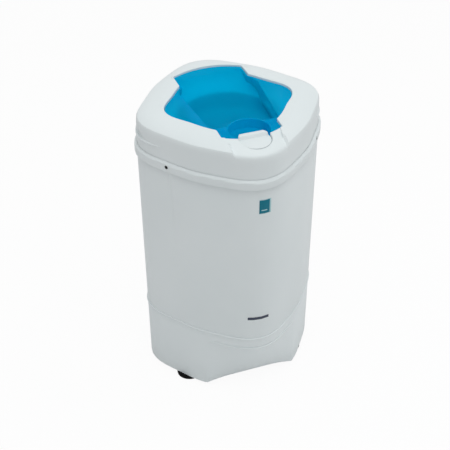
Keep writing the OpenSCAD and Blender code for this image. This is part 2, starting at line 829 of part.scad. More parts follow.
module stator() {
    slots = 24;
    color("dimgray") translate([0, 0, stator_z]) difference() {
        cylinder(r = stator_r, h = stator_h);
        translate([0, 0, -1]) cylinder(r = rotor_r + 0.6, h = stator_h + 2);
        for (i = [0 : slots - 1]) rotate([0, 0, i * 360 / slots])
            translate([rotor_r, -1.5, -1]) cube([4, 3, stator_h + 2]);
    }
}

module windings() {
    color("peru") for (z = [stator_z - 10, stator_z + stator_h])
        translate([0, 0, z]) tube(stator_r - 6, rotor_r + 3, 10);
}

module rotor() {
    color("gray") translate([0, 0, stator_z - 2]) tube(rotor_r, shaft_r, stator_h + 4);
}

module motor_shaft() {
    color("silver") translate([0, 0, fan_z - 4]) cylinder(r = shaft_r, h = drum_floor_z + hub_cone_h + hub_nut_h + 2 - fan_z + 4);
}

module cooling_fan() {
    blades = 8;
    color("#2f3b45") translate([0, 0, fan_z]) difference() {
        union() {
            cylinder(r = shaft_r + 6, h = fan_h);
            cylinder(r = stator_r - 8, h = 2);
            for (i = [0 : blades - 1]) rotate([0, 0, i * 360 / blades])
                translate([shaft_r + 3, -1, 0]) cube([stator_r - shaft_r - 13, 2, fan_h]);
        }
        translate([0, 0, -1]) cylinder(r = shaft_r, h = fan_h + 2);
    }
}

// ---- basket ----

module drum_basket() {
    h = drum_top - drum_floor_z;
    color("silver") translate([0, 0, drum_floor_z]) difference() {
        cylinder(r = drum_r, h = h, $fn = 96);
        translate([0, 0, 2]) cylinder(r = drum_r - drum_wall, h = h, $fn = 96);
        translate([0, 0, -1]) cylinder(r = shaft_r + 4, h = 4);
        for (row = [0 : hole_rows - 1]) for (col = [0 : hole_columns - 1])
            translate([0, 0, 30 + row * (h - ring_h - 50) / (hole_rows - 1)])
                rotate([0, 0, (col + (row % 2) / 2) * 360 / hole_columns])
                    translate([drum_r - 8, 0, 0]) rotate([0, 90, 0]) cylinder(r = 3, h = 16, $fn = 24);
    }
}

module balance_ring() {
    color("white") {
        translate([0, 0, drum_top - ring_h]) tube(drum_r - drum_wall - 0.1, mouth_r, ring_h + ring_lip);
        translate([0, 0, drum_top]) tube(drum_r, mouth_r, ring_lip);
    }
}

module drum_hub() {
    color("lightgray") difference() {
        union() {
            translate([0, 0, drum_floor_z - hub_t]) cylinder(r = hub_r, h = hub_t);
            translate([0, 0, drum_floor_z - EPS]) cylinder(r = shaft_r + 3.9, h = hub_cone_h + EPS);
            translate([0, 0, drum_floor_z + 2]) cylinder(r1 = shaft_r + 20, r2 = shaft_r + 6, h = hub_cone_h - 2);
        }
        translate([0, 0, drum_floor_z - hub_t - 1]) cylinder(r = shaft_r, h = hub_t + hub_cone_h + 2);
    }
}

module hub_nut() {
    color("silver") translate([0, 0, drum_floor_z + hub_cone_h]) difference() {
        cylinder(r = shaft_r + 6, h = hub_nut_h, $fn = 6);
        translate([0, 0, -1]) cylinder(r = shaft_r, h = hub_nut_h + 2);
    }
}

// ---- brake and switch ----

module brake_disc() {
    color("gray") translate([0, 0, brake_z]) difference() {
        cylinder(r = brake_r, h = brake_t);
        translate([0, 0, -1]) cylinder(r = shaft_r, h = brake_t + 2);
        translate([0, 0, 3]) tube(brake_r - 5, shaft_r + 6, brake_t);
    }
}

module along_x(y, z, r, half) {
    translate([-half, y, z]) rotate([0, 90, 0]) cylinder(r = r, h = 2 * half);
}

module brake_bracket() {
    color("slategray") difference() {
        union() {
            translate([-cheek_half, -stator_r - 3.3, upper_bell_z + 2]) cube([2 * cheek_half, 3, upper_bell_h - 4]);
            for (x = [-cheek_half, lever_half + cheek_gap])
                translate([x, pivot_y - 6, pivot_z - 8])
                    cube([cheek_half - lever_half - cheek_gap, -stator_r - 1 - pivot_y + 4, 16]);
        }
        along_x(pivot_y, pivot_z, pivot_r, 12);
        translate([-20, -stator_r, 0]) cube([40, 20, total_h]);
    }
}

module brake_pin() {
    color("silver") {
        along_x(pivot_y, pivot_z, pivot_r, cheek_half + 1);
        for (x = [-cheek_half - 3, cheek_half])
            translate([x, pivot_y, pivot_z]) rotate([0, 90, 0]) cylinder(r = pivot_r + 2, h = 3);
    }
}

shoe_y = -(brake_r + shoe_gap);

module brake_lever() {
    color("slategray") difference() {
        union() {
            translate([-lever_half, 0, 0]) rotate([90, 0, 90]) linear_extrude(2 * lever_half) polygon([
                [rod_y + 3, pivot_z - 3], [rod_y + 3, pivot_z + 3], [pivot_y - 7, pivot_z + 5],
                [pivot_y - 3, brake_z + brake_t - 1], [shoe_y - 8, brake_z + brake_t - 1],
                [shoe_y - 8, brake_z + 1], [pivot_y + 6, brake_z - 3], [pivot_y + 6, pivot_z - 5],
                [pivot_y - 7, pivot_z - 6]]);
            along_x(rod_y, pivot_z, yoke_pin_r, 9);
            along_x(rod_y, pivot_z, yoke_pin_r + 2.5, lever_half);
        }
        along_x(pivot_y, pivot_z, pivot_r + RUN, 12);
    }
}

module brake_shoe() {
    color("saddlebrown") difference() {
        translate([-14, shoe_y - 8, brake_z + 1]) cube([28, 12, brake_t - 2]);
        cylinder(r = brake_r + shoe_gap, h = total_h, $fn = 96);
    }
}

module brake_spring() {
    color("silver") translate([lever_half, 0, 0]) {
        translate([0, pivot_y, pivot_z]) rotate([0, 90, 0]) tube(pivot_r + 1.5, pivot_r + 0.4, 0.7);
    }
}

module brake_rod() {
    yoke_h = 18;
    color("silver") difference() {
        union() {
            translate([0, rod_y, pivot_z]) cylinder(r = rod_r, h = rod_tip_z - pivot_z);
            translate([0, rod_y, rod_collar_z]) cylinder(r = rod_collar_r, h = rod_collar_h);
            translate([-8, rod_y - 7, pivot_z - yoke_h / 2]) cube([16, 14, yoke_h + 8]);
        }
        translate([-lever_half - 0.6, rod_y - 10, pivot_z - yoke_h]) cube([2 * lever_half + 1.2, 20, 2 * yoke_h - 8]);
        along_x(rod_y, pivot_z, yoke_pin_r + 0.5, 12);
    }
}

module lid_switch() {
    color("#303030") translate([switch_x + 1, rod_y - 6, flange_top]) difference() {
        cube([20, 12, 12]);
        translate([-1, 6, rod_collar_z - flange_top + 2]) rotate([0, 90, 0]) cylinder(r = 1.2 + RUN, h = 14);
    }
}

module switch_plunger() {
    tip = rod_collar_r + 2;
    color("red") translate([tip, rod_y, rod_collar_z + 2]) rotate([0, 90, 0]) cylinder(r = 1.2, h = switch_x + 10 - tip);
}

// ---- electrical parts ----

capacitor_x = 105;
capacitor_y = -50;
capacitor_r = 17.5;
capacitor_h = 58;
terminal_h = 7;
clamp_z = 30;
clamp_w = 10;
clamp_t = 2.5;

module capacitor() {
    color("gainsboro") translate([capacitor_x, capacitor_y, floor_z]) {
        cylinder(r = capacitor_r, h = capacitor_h);
        for (side = [-1, 1])
            translate([side * capacitor_r / 3, 0, capacitor_h - EPS]) cylinder(r = 2, h = terminal_h);
    }
}

module capacitor_clamp() {
    color("slategray") translate([capacitor_x, capacitor_y, floor_z]) {
        translate([0, 0, clamp_z]) tube(capacitor_r + 1.8, capacitor_r + 0.1, clamp_w);
        translate([capacitor_r + 1, -clamp_w / 2, 0]) cube([clamp_t, clamp_w, clamp_z + clamp_w]);
        translate([capacitor_r + 1, -clamp_w / 2, 0]) cube([14, clamp_w, clamp_t]);
    }
}

module terminal_block() {
    color("ivory") translate([-capacitor_x - 8, capacitor_y - 20, floor_z]) difference() {
        cube([16, 40, 14]);
        for (y = [5 : 10 : 35]) {
            translate([8, y, 6]) cylinder(r = 2.2, h = 9);
            translate([-1, y, 5]) rotate([0, 90, 0]) cylinder(r = 1.6, h = 18);
        }
    }
}

module cord_gland() {
    color("#222222") translate([0, gland_y, gland_z]) rotate([-90, 0, 0]) difference() {
        union() {
            translate([0, 0, -16]) cylinder(r = gland_r, h = 17);
            cylinder(r = gland_r + 3, h = 3);
            translate([0, 0, 3 - EPS]) cylinder(r1 = gland_r + 1, r2 = cord_r + 1.5, h = 5);
        }
        translate([0, 0, -17]) cylinder(r = cord_r, h = 30);
    }
}

module gland_nut() {
    color("#222222") translate([0, gland_y - gland_nut_in - gland_nut_h, gland_z]) rotate([-90, 0, 0]) difference() {
        cylinder(r = gland_nut_r, h = gland_nut_h, $fn = 6);
        translate([0, 0, -1]) cylinder(r = gland_r + 0.05, h = 8);
    }
}

// ---- front label and badge ----

module front_plate(middle_x, middle_z, w, h, thick) {
    intersection() {
        translate([middle_x - w / 2, -corner_fb - 20, middle_z - h / 2]) cube([w, 60, h]);
        difference() {
            loft([[outline(body_grow(seam_z) + thick), seam_z], [outline(body_grow(shell_top) + thick), shell_top]]);
            loft([[outline(body_grow(seam_z)), seam_z], [outline(body_grow(shell_top)), shell_top]]);
        }
    }
}

module front_label() {
    color("teal") front_plate(2, label_z, label_w, label_h, 0.5);
}

module front_badge() {
    color("midnightblue") front_plate(-6, badge_z, badge_w, badge_h, 0.6);
}

base();
shell();
top_frame();
frame_screws();
translate([-foot_x, -foot_y, 0]) foot();  // foot_front_left
translate([foot_x, -foot_y, 0]) foot();  // foot_front_right
translate([-foot_x, foot_y, 0]) foot();  // foot_back_left
translate([foot_x, foot_y, 0]) foot();  // foot_back_right
foot_screws();
tub();
throat_ring();
shaft_seal();
drain_hose();
drain_elbow();
buffer(buffer_angles[0]);  // buffer_right
buffer(buffer_angles[1]);  // buffer_left
buffer(buffer_angles[2]);  // buffer_front
buffer_bolts();
buffer_nuts();
motor_cradle();
motor_bolts();
motor_bell_lower();
stator();
windings();
motor_bell_upper();
bearing(lower_bearing_z);  // bearing_lower
bearing(upper_bearing_z);  // bearing_upper
brake_bracket();
brake_pin();
capacitor();
capacitor_clamp();
terminal_block();
cord_gland();
gland_nut();
hinge_pin(-1);  // hinge_pin_left
hinge_pin(1);  // hinge_pin_right
lid_switch();
front_label();
front_badge();
drum_basket();
balance_ring();
drum_hub();
hub_nut();
motor_shaft();
rotor();
brake_disc();
cooling_fan();
lid();
latch_knob();
latch_cam();
latch_screw();
brake_lever();
brake_shoe();
brake_spring();
brake_rod();
switch_plunger();
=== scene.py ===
import json
import math
import bmesh
import bpy
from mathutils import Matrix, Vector

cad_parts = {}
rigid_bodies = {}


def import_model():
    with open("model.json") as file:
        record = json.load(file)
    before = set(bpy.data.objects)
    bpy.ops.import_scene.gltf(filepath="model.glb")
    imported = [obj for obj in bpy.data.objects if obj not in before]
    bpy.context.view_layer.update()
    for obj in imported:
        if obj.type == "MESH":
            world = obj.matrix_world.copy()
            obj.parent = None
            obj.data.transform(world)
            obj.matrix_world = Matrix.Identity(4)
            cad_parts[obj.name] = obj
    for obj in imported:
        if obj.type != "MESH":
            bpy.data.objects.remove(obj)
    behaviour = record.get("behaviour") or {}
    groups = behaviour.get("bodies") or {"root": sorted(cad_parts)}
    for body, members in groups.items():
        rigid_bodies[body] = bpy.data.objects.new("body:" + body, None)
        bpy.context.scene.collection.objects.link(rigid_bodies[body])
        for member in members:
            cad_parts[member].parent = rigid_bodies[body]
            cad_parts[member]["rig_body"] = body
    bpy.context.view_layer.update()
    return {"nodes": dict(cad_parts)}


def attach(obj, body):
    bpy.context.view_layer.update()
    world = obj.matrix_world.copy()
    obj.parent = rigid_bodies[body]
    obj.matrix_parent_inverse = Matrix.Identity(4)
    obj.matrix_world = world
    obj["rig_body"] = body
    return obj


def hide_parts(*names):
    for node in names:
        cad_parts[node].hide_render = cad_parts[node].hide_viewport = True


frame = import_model()

# The camera stands to the left of the front corner and looks down on the dryer
# from about two and a half metres away, through a short telephoto lens.
look_at = Vector((0.0, -0.0068, 0.320))
turned, tilted, distance = math.radians(-20.11), math.radians(36.24), 2.430
stand = look_at + distance * Vector(
    (math.sin(turned) * math.cos(tilted), -math.cos(turned) * math.cos(tilted), math.sin(tilted)))
bpy.ops.object.camera_add(
    location=stand, rotation=(look_at - stand).to_track_quat("-Z", "Y").to_euler())
camera = bpy.context.object
camera.data.lens = 88.0
camera.data.sensor_width = 36.0
camera.data.shift_x = -0.0112
camera.data.shift_y = 0.0109
bpy.context.scene.camera = camera


# ---- Base moulding ----
# A deep white polypropylene moulding that closes the cabinet below: a skirt scooped out under
# the front and back corners, a ribless floor with air slots, pillars for the feet and bosses
# for the buffers. The body shell slips over its upstand. All the white mouldings share a finish.
class Tone:
    """One output of a shader node, so that shader maths reads as plain Python."""

    def __init__(self, shading, socket):
        self.shading, self.socket = shading, socket

    def output(self, name):
        """Another output of the same node."""
        return Tone(self.shading, self.socket.node.outputs[name])

    def maths(self, operation, *parts):
        return self.shading.node("ShaderNodeMath", {"operation": operation}, dict(enumerate(parts)))

    def __sub__(self, other):
        return self.maths("SUBTRACT", self, other)

    def __rsub__(self, other):
        return self.maths("SUBTRACT", other, self)

    def __mul__(self, other):
        return self.maths("MULTIPLY", self, other)

    def __or__(self, other):
        return self.maths("MAXIMUM", self, other)

    def __gt__(self, other):
        return self.maths("GREATER_THAN", self, other)

    def __lt__(self, other):
        return self.maths("LESS_THAN", self, other)

    def __abs__(self):
        return self.maths("ABSOLUTE", self)

    __rmul__ = __mul__
    __ror__ = __or__


class Shading:
    """The nodes of a finish or of the room around the dryer."""

    def __init__(self, owner):
        owner.use_nodes = True
        self.tree = owner.node_tree
        self.tree.nodes.clear()

    def node(self, kind, settings, values, output=0):
        """One node with its settings and with the values or links of its sockets."""
        made = self.tree.nodes.new(kind)
        for key, value in settings.items():
            setattr(made, key, value)
        for key, value in values.items():
            if isinstance(value, Tone):
                self.tree.links.new(value.socket, made.inputs[key])
            else:
                made.inputs[key].default_value = value
        return Tone(self, made.outputs[output]) if made.outputs else made

    def light_path(self, kind_of_ray):
        return self.node("ShaderNodeLightPath", {}, {}, kind_of_ray)

    def mix(self, share, first, second):
        """The first shader, and as much of the second as the share says."""
        return self.node("ShaderNodeMixShader", {}, {0: share, 1: first, 2: second})


class Finish(Shading):
    """A material for one finish of the dryer. Its grain lies in the pieces' own coordinates."""

    def __init__(self, name, **surface):
        self.material = bpy.data.materials.new(name)
        super().__init__(self.material)
        self.place = self.node("ShaderNodeTexCoord", {}, {}, "Object")
        self.surface = self.node("ShaderNodeBsdfPrincipled", {}, {})
        self.end = self.node("ShaderNodeOutputMaterial", {}, {"Surface": self.surface})
        self.set(**surface)

    def show(self, shader):
        """Shows this shader in the place of the plain surface."""
        self.tree.links.new(shader.socket, self.end.inputs["Surface"])

    def noise(self, scale, detail=3.0, stretch=(1.0, 1.0, 1.0)):
        place = self.node("ShaderNodeMapping", {}, {"Vector": self.place, "Scale": stretch})
        return self.node("ShaderNodeTexNoise", {}, {
            "Vector": place, "Scale": scale, "Detail": detail})

    def spread(self, grain, low, high):
        """A grain, which keeps mostly between 0.3 and 0.7, spread from low to high."""
        return self.node("ShaderNodeMapRange", {}, {
            "Value": grain, "From Min": 0.3, "From Max": 0.7, "To Min": low, "To Max": high})

    def blend(self, share, first, second):
        """The first colour, and as much of the second as the share says."""
        return self.node("ShaderNodeMix", {"data_type": "RGBA"}, {0: share, 6: first, 7: second}, 2)

    def set(self, **values):
        surface = self.surface.socket.node
        for key, value in values.items():
            key = key.replace("_", " ")
            if isinstance(value, Tone):
                self.tree.links.new(value.socket, surface.inputs[key])
            else:
                surface.inputs[key].default_value = value

    def relief(self, height, depth):
        self.set(Normal=self.node("ShaderNodeBump", {}, {
            "Strength": 1.0, "Distance": depth, "Height": height}))

    def follow(self, pattern, share, first, second, rough, depth):
        """Colour, roughness and fine relief that follow one pattern."""
        self.set(Base_Color=self.blend(share, first, second), Roughness=self.spread(pattern, *rough))
        self.relief(pattern, depth)
        return self

    def grain(self, first, second, scale, rough, depth, stretch=(1.0, 1.0, 1.0)):
        """The grain of a moulding, a casting or a drawn sheet."""
        grain = self.noise(scale, stretch=stretch)
        return self.follow(grain, self.spread(grain, 0.0, 1.0), first, second, rough, depth)

    def bands(self, shape, first, second, scale, rough, depth, distortion, detail=2.0):
        """The bands or rings that stacked sheets, turns of wire or a lathe leave."""
        bands = self.node("ShaderNodeTexWave", shape, {
            "Vector": self.place, "Scale": scale, "Distortion": distortion, "Detail": detail}, 1)
        return self.follow(bands, bands, first, second, rough, depth)

    def paint(self, *pieces):
        for piece in pieces:
            piece.data.materials.clear()
            piece.data.materials.append(self.material)


def colour(red, green, blue):
    """A colour for a shader, from the red, green and blue that a screen shows, 0 to 255."""
    return tuple((part / 255) ** 2.2 for part in (red, green, blue)) + (1.0,)


# A millimetre in metres, and how near to each other points and planes of a CAD node are merged.
MM = 0.001
SAME_POINT = 0.000002
SAME_PLANE = math.radians(0.5)


def finer(name, width=0.5, steps=2, sharp=35.0, trim=None):
    """A copy of a CAD node with its edges eased, width in mm, and its curves shaded smooth. It
    replaces the node. Its points are moved first where trim(x, y, z) gives their new place."""
    node = frame["nodes"][name]
    bpy.ops.object.select_all(action="DESELECT")
    piece = bpy.data.objects.new(name + "_finer", node.data.copy())
    bpy.context.scene.collection.objects.link(piece)
    bpy.context.view_layer.objects.active = piece
    piece.select_set(True)
    if trim:
        for point in piece.data.vertices:
            point.co = trim(*point.co)
    bpy.ops.object.mode_set(mode="EDIT")
    bpy.ops.mesh.select_all(action="SELECT")
    bpy.ops.mesh.remove_doubles(threshold=SAME_POINT)
    bpy.ops.mesh.dissolve_degenerate(threshold=SAME_POINT)
    bpy.ops.mesh.select_all(action="SELECT")
    bpy.ops.mesh.dissolve_limited(angle_limit=SAME_PLANE)
    bpy.ops.object.mode_set(mode="OBJECT")
    if width:
        ease = piece.modifiers.new("eased", "BEVEL")
        ease.width, ease.segments = width * MM, steps
        ease.limit_method, ease.angle_limit = "ANGLE", math.radians(sharp)
        ease.use_clamp_overlap = True
        ease.harden_normals = False
        bpy.ops.object.modifier_apply(modifier=ease.name)
    bpy.ops.object.shade_smooth_by_angle(angle=math.radians(sharp))
    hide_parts(name)
    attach(piece, node["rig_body"])
    return piece


white = Finish("white_moulding", Specular_IOR_Level=0.4)
mould_grain, flow = white.noise(scale=900.0, detail=2.0), white.noise(scale=5.0)
white.set(
    Base_Color=white.blend(white.spread(flow, 0.0, 1.0), colour(224, 231, 232), colour(229, 235, 236)),
    Roughness=white.spread(flow, 0.36, 0.44))
white.relief(mould_grain, depth=0.00002)
white.paint(finer("base", width=0.8))

# The cabinet's outline: its mean radius, and the waves that give it four soft corners.
OUTLINE_RADIUS, OUTLINE_WAVES = 184.25, ((2, 4.5), (4, 11.75), (8, 2.5))


def outline(turn):
    """How far the cabinet's outline is from the middle, in mm, at an angle counted from the front."""
    return sum((wave * math.cos(times * turn) for times, wave in OUTLINE_WAVES), OUTLINE_RADIUS)


def bead(name, height, stand_out, thick, reach=math.pi, fade=0.2, middle=0.0, climb=0.0):
    """A thin rounded bead along the cabinet's outline, as far as reach to both sides of its middle,
    with ends that fade into the wall. It climbs from its middle by so many mm a radian."""
    ring_radius, steps_round, sides, all_round = 0.19, 240, 12, reach == math.pi
    bpy.ops.object.select_all(action="DESELECT")
    bpy.ops.mesh.primitive_torus_add(
        major_radius=ring_radius, minor_radius=thick * MM,
        major_segments=steps_round, minor_segments=sides)
    piece = bpy.context.object
    piece.name = name
    bpy.ops.object.mode_set(mode="EDIT")
    shape = bmesh.from_edit_mesh(piece.data)
    for point in list(shape.verts):
        turn = math.atan2(point.co.x, -point.co.y)
        away = abs(turn - middle)
        if away > reach:
            shape.verts.remove(point)
            continue
        share = 1.0 if all_round else min(1.0, (reach - away) / fade)
        out = math.hypot(point.co.x, point.co.y) - ring_radius
        radius = (outline(turn) + stand_out) * MM + out * share - thick * MM * (1.0 - share)
        point.co = (radius * math.sin(turn), -radius * math.cos(turn),
                    (height + climb * away) * MM + point.co.z * share)
    bmesh.update_edit_mesh(piece.data)
    if not all_round:
        bpy.ops.mesh.select_all(action="SELECT")
        bpy.ops.mesh.fill_holes(sides=sides)
        bpy.ops.mesh.select_all(action="SELECT")
        bpy.ops.mesh.normals_make_consistent(inside=False)
    bpy.ops.object.mode_set(mode="OBJECT")
    bpy.ops.object.shade_smooth()
    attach(piece, "cabinet")
    return piece


white.paint(bead("seam_bead", height=163.4, stand_out=-2.9, thick=2.1),
            bead("scoop_bead", height=136.6, stand_out=-3.0, thick=1.9, reach=0.72))


# ---- Feet ----
# Four wide black rubber discs under the corners of the skirt, each held by a countersunk
# zinc plated screw into a pillar of the base.
rubber = Finish("black_rubber", Specular_IOR_Level=0.12).grain(
    colour(7, 7, 8), colour(13, 13, 14), scale=500.0, rough=(0.62, 0.8), depth=0.00004)
SEATED_LEFT, SEATED_FORWARD = 0.0055, 0.006


def seated_out(x, y, z):
    """The visible foot sits a few millimetres further out under the skirt."""
    return x - SEATED_LEFT, y - SEATED_FORWARD, z


rubber.paint(finer("foot_front_left", width=1.2, steps=3, trim=seated_out))
for corner in ("front_right", "back_left", "back_right"):
    rubber.paint(finer("foot_" + corner, width=1.2, steps=3))
zinc = Finish("zinc_steel", Metallic=1.0).grain(
    colour(206, 209, 211), colour(188, 192, 196), scale=260.0, rough=(0.26, 0.4), depth=0.00001)
zinc.paint(frame["nodes"]["foot_screws"])


# ---- Drain ----
# A rubber hose leads from the tub's sump to a grey elbow, whose spigot comes out under the
# back corner. An outer hose pushes over the spigot.
grey = Finish("grey_moulding", Specular_IOR_Level=0.35).grain(
    colour(146, 149, 152), colour(158, 161, 163), scale=300.0, rough=(0.4, 0.5), depth=0.00003)
rubber.paint(frame["nodes"]["drain_hose"], frame["nodes"]["shaft_seal"])
grey.paint(finer("drain_elbow", width=0.4))


# ---- Cord gland and electrical parts ----
# A dark nylon gland with its nut closes the cord entry at the back. The motor's capacitor is a
# drawn aluminium can in a steel clamp, next to a pale terminal block.
dark = Finish("dark_moulding", Specular_IOR_Level=0.35).grain(
    colour(46, 47, 49), colour(56, 57, 59), scale=400.0, rough=(0.42, 0.55), depth=0.00003)
dark.paint(finer("cord_gland", width=0.4), frame["nodes"]["gland_nut"])
can = Finish("can", Metallic=1.0).grain(
    colour(218, 220, 222), colour(205, 208, 211), scale=60.0,
    rough=(0.24, 0.34), depth=0.00001, stretch=(1.0, 1.0, 0.05))
can.paint(finer("capacitor", width=0.8, steps=3))
pale = Finish("white_inner", Specular_IOR_Level=0.35).grain(
    colour(226, 227, 224), colour(233, 234, 231), scale=300.0, rough=(0.4, 0.5), depth=0.00003)
pale.paint(finer("terminal_block", width=0.4))
coat = Finish("painted_steel", Coat_Weight=0.2).grain(
    colour(106, 112, 120), colour(114, 120, 128), scale=350.0, rough=(0.34, 0.46), depth=0.00004)
coat.paint(frame["nodes"]["capacitor_clamp"])


# ---- Buffers and cradle ----
# Three rubber buffers, bolted to the base, carry a pressed steel cradle, so that the motor with
# tub and drum can wobble while it gathers speed.
for place in ("right", "left", "front"):
    rubber.paint(finer("buffer_" + place, width=0.8))
zinc.paint(*(frame["nodes"][name] for name in ("buffer_bolts", "buffer_nuts", "motor_bolts")))
coat.paint(finer("motor_cradle", width=0.5))


# ---- Motor ----
# Two cast aluminium end bells hold the laminated stator with its varnished copper windings and
# two ball bearings. The rotor, the cooling fan and the brake disc turn on one steel shaft.
cast_alloy = Finish("cast_alloy", Metallic=1.0).grain(
    colour(184, 187, 190), colour(200, 203, 205), scale=220.0, rough=(0.42, 0.6), depth=0.00012)
for bell in ("motor_bell_lower", "motor_bell_upper"):
    cast_alloy.paint(finer(bell, width=0.8))
stacked, ringed = {"bands_direction": "Z"}, {"wave_type": "RINGS", "rings_direction": "Z"}
sheets = Finish("lamination", Metallic=1.0).bands(
    stacked, colour(104, 108, 113), colour(134, 138, 142), scale=300.0,
    rough=(0.4, 0.6), depth=0.00006, distortion=0.4, detail=1.0)
sheets.paint(frame["nodes"]["stator"], frame["nodes"]["rotor"])
copper = Finish("copper", Metallic=1.0, Coat_Weight=0.5, Coat_Roughness=0.2).bands(
    ringed, colour(150, 80, 40), colour(196, 118, 66), scale=180.0,
    rough=(0.28, 0.42), depth=0.0002, distortion=1.5)
copper.paint(finer("windings", width=1.5, steps=3))
zinc.paint(*(frame["nodes"][name] for name in ("bearing_lower", "bearing_upper", "motor_shaft")))
dark.paint(frame["nodes"]["cooling_fan"])


# ---- Brake ----
# A cast disc on the shaft and a lined shoe on a sprung lever. The lever hangs in a bracket on
# the upper bell, and the pull rod lets it go when the latch opens.
cast = Finish("cast", Metallic=1.0).bands(
    ringed, colour(112, 112, 115), colour(140, 140, 142), scale=260.0,
    rough=(0.34, 0.5), depth=0.00004, distortion=0.2)
cast.paint(frame["nodes"]["brake_disc"])
lining = Finish("lining").grain(
    colour(112, 84, 64), colour(86, 70, 58), scale=600.0, rough=(0.8, 0.95), depth=0.0001)
lining.paint(frame["nodes"]["brake_shoe"])
coat.paint(frame["nodes"]["brake_bracket"], frame["nodes"]["brake_lever"])
zinc.paint(*(frame["nodes"][name] for name in ("brake_pin", "brake_spring", "brake_rod")))


# ---- Tub and throat ----
# A deep blow moulded tub catches the water. The throat ring of grey plastic, clipped under the
# cap's seat, leads the laundry and the spray into the drum.
tub_grey = Finish("tub_moulding", Specular_IOR_Level=0.35).grain(
    colour(204, 210, 215), colour(213, 218, 222), scale=120.0, rough=(0.42, 0.52), depth=0.00005)
tub_grey.paint(finer("tub", width=0.8))
throat_grey = Finish("throat_moulding", Specular_IOR_Level=0.3).grain(
    colour(78, 82, 86), colour(88, 92, 96), scale=200.0, rough=(0.45, 0.55), depth=0.00003)
throat_grey.paint(finer("throat_ring", width=1.0, steps=3))


# ---- Drum ----
# A basket rolled from perforated stainless steel, brushed round, with a plastic balance ring
# at its mouth and a cast hub that one nut holds on the shaft.
stainless = Finish("stainless", Metallic=1.0).grain(
    colour(214, 216, 218), colour(190, 193, 196), scale=14.0,
    rough=(0.22, 0.36), depth=0.00001, stretch=(1.0, 1.0, 60.0))
stainless.paint(finer("drum_basket", width=0.0))
pale.paint(finer("balance_ring", width=1.2, steps=3))
cast_alloy.paint(finer("drum_hub", width=1.0, steps=3))
zinc.paint(finer("hub_nut", width=0.6))


# ---- Body shell ----
# One tall sleeve of white sheet moulding, slipped over the base's upstand and held by the
# cap's screws. It is plain all round, with the outline's four soft corners.
white.paint(finer("shell", width=0.5))


# ---- Cap ----
# The white top moulding: a lip that overlaps the shell, a crowned rim with hand grips at the
# sides, the opening with its seat, and the latch platform. Four screws hold it, coloured near
# black as painted shade: the dark of their recessed holes is painted onto the screws.

# How far each ring round the cap moves, in mm: its distance from the outline, its height, the
# move out and the move up. Points within RING_REACH of the line between two rings move along.
CAP_RINGS = (
    (7.0, 571.2, 0.0, 0.0), (7.0, 574.0, 0.6, -2.5), (5.5, 577.0, -0.3, -2.2),
    (3.0, 578.0, -1.6, -0.7), (1.0, 612.0, 0.0, 0.0), (1.0, 622.0, 0.0, 0.0),
    (0.3, 627.0, 0.3, 3.5), (-2.0, 631.6, 0.4, 3.0), (-7.0, 635.1, 0.0, 1.9),
    (-14.0, 638.8, 0.0, 1.0), (-23.0, 641.8, 0.0, 0.0))
RING_REACH = 0.25
# The cheeks beside the latch stand at CHEEK_X. From CHEEK_Y forwards, over CHEEK_RUN, they come
# to lean inwards by this share of their turn about the middle. The last two keep the lean above
# that height and within that distance of the outline, in mm.
CHEEK_X, CHEEK_Y, CHEEK_RUN, CHEEK_LEAN = 0.058, -0.1351, 0.02, 0.09
CHEEK_BOTTOM, CHEEK_BACK = 616.0, -36.0


def crisp_cap(x, y, z):
    """The cap's mesh with a crisper crown edge, a broader ledge and slanted cheeks beside the latch."""
    turn = math.atan2(x, -y)
    out, height = math.hypot(x, y) / MM - outline(turn), z / MM
    for (out_a, height_a, *move_a), (out_b, height_b, *move_b) in zip(CAP_RINGS, CAP_RINGS[1:]):
        step_out, step_up = out_b - out_a, height_b - height_a
        share = ((out - out_a) * step_out + (height - height_a) * step_up) / (
            step_out ** 2 + step_up ** 2)
        off_line = math.hypot(out_a + share * step_out - out, height_a + share * step_up - height)
        if 0.0 <= share <= 1.0 and off_line < RING_REACH:
            out += move_a[0] + share * (move_b[0] - move_a[0])
            height += move_a[1] + share * (move_b[1] - move_a[1])
            break
    else:
        on_cheek = abs(abs(x) - CHEEK_X) < 0.1 * MM and y < CHEEK_Y
        if on_cheek and height > CHEEK_BOTTOM and out > CHEEK_BACK:
            turn *= 1.0 - CHEEK_LEAN * min(1.0, (CHEEK_Y - y) / CHEEK_RUN)
    radius = (outline(turn) + out) * MM
    return radius * math.sin(turn), -radius * math.cos(turn), height * MM


white.paint(finer("top_frame", width=0.6, steps=3, sharp=30.0, trim=crisp_cap))
for side, name in ((-1.0, "grip_bead_left"), (1.0, "grip_bead_right")):
    white.paint(bead(name, height=599.5, stand_out=0.9, thick=2.4, reach=0.56, fade=0.3,
                     middle=side * math.pi / 2, climb=15.0))
# The screws' near black is painted shade, standing in for the dark of their recessed holes.
painted_hole_shade = Finish("black_steel", Metallic=0.6).grain(
    colour(22, 22, 24), colour(34, 34, 37), scale=300.0, rough=(0.4, 0.55), depth=0.00002)
painted_hole_shade.paint(finer("frame_screws", width=0.5))


